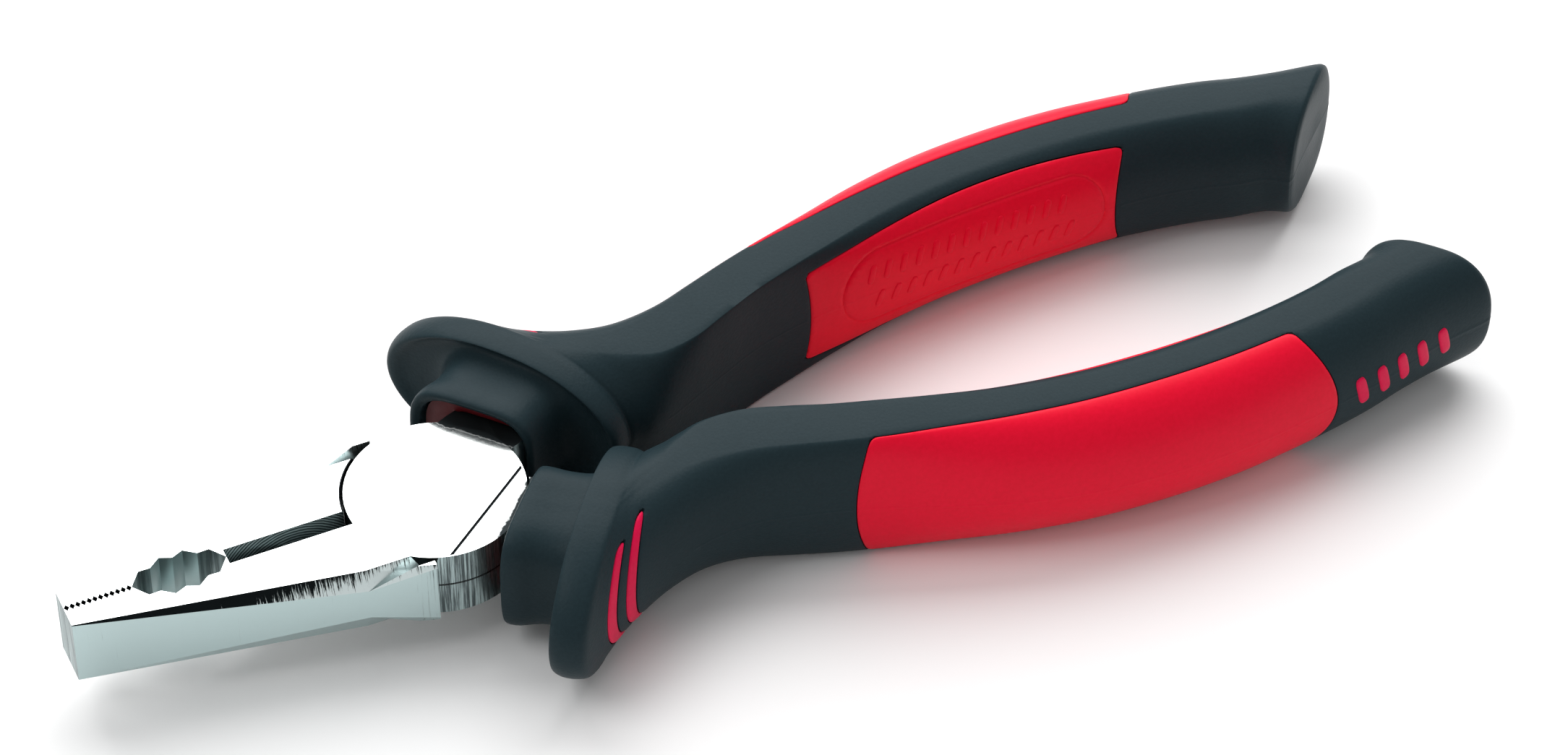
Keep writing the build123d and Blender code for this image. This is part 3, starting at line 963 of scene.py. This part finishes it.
def make_stage():
    """Plain pale floor, white surround and soft lights."""
    reach = 3.0
    mesh = bpy.data.meshes.new("floor")
    corners = [(-reach, -reach, 0), (reach, -reach, 0), (reach, reach, 0), (-reach, reach, 0)]
    mesh.from_pydata(corners, [], [(0, 1, 2, 3)])
    floor = bpy.data.objects.new("floor", mesh)
    bpy.context.scene.collection.objects.link(floor)
    paper = bpy.data.materials.new("pale_floor")
    paper.use_nodes = True
    shader = paper.node_tree.nodes["Principled BSDF"]
    shader.inputs["Base Color"].default_value = (0.93, 0.93, 0.93, 1)
    shader.inputs["Roughness"].default_value = 0.9
    shader.inputs["Specular IOR Level"].default_value = 0.0
    mesh.materials.append(paper)
    world = bpy.data.worlds.new("studio")
    world.use_nodes = True
    world.node_tree.nodes["Background"].inputs["Color"].default_value = (1, 1, 1, 1)
    world.node_tree.nodes["Background"].inputs["Strength"].default_value = 0.42
    bpy.context.scene.world = world
    area_light("softbox_back", (0.25, 0.62, 0.72), (0, 0, 0), (1.3, 1.0), 14)
    area_light("softbox_left", (-0.55, 0.1, 0.8), (0, 0, 0), (0.5, 0.5), 2.5)
    bpy.context.scene.view_settings.view_transform = "Standard"


def make_camera():
    """Long lens looking down across the head, a little from the jaws' side."""
    turn, tilt = math.radians(-24.07), math.radians(46.12)
    flat = math.cos(tilt)
    back = Vector((math.sin(turn) * flat, -math.cos(turn) * flat, math.sin(tilt)))
    right = Vector((math.cos(turn), math.sin(turn), 0))
    up = back.cross(right)
    target = Vector(PIVOT) + Vector((4.309, 0.382, 0)) * HEAD_RADIUS * MM
    camera = bpy.data.cameras.new("camera")
    camera.sensor_width = 36
    camera.lens = 133.76
    camera.clip_end = 10
    camera_object = bpy.data.objects.new("camera", camera)
    place = target + back * 64.87 * HEAD_RADIUS * MM
    turned = Matrix((right, up, back)).transposed().to_4x4()
    camera_object.matrix_world = Matrix.Translation(place) @ turned
    bpy.context.scene.collection.objects.link(camera_object)
    bpy.context.scene.camera = camera_object


materials = make_materials()
table, normals = make_grips(materials)
make_sleeves(materials["dark_red"])
make_bars(table, normals, materials)
make_forgings(materials)
make_stage()
make_camera()
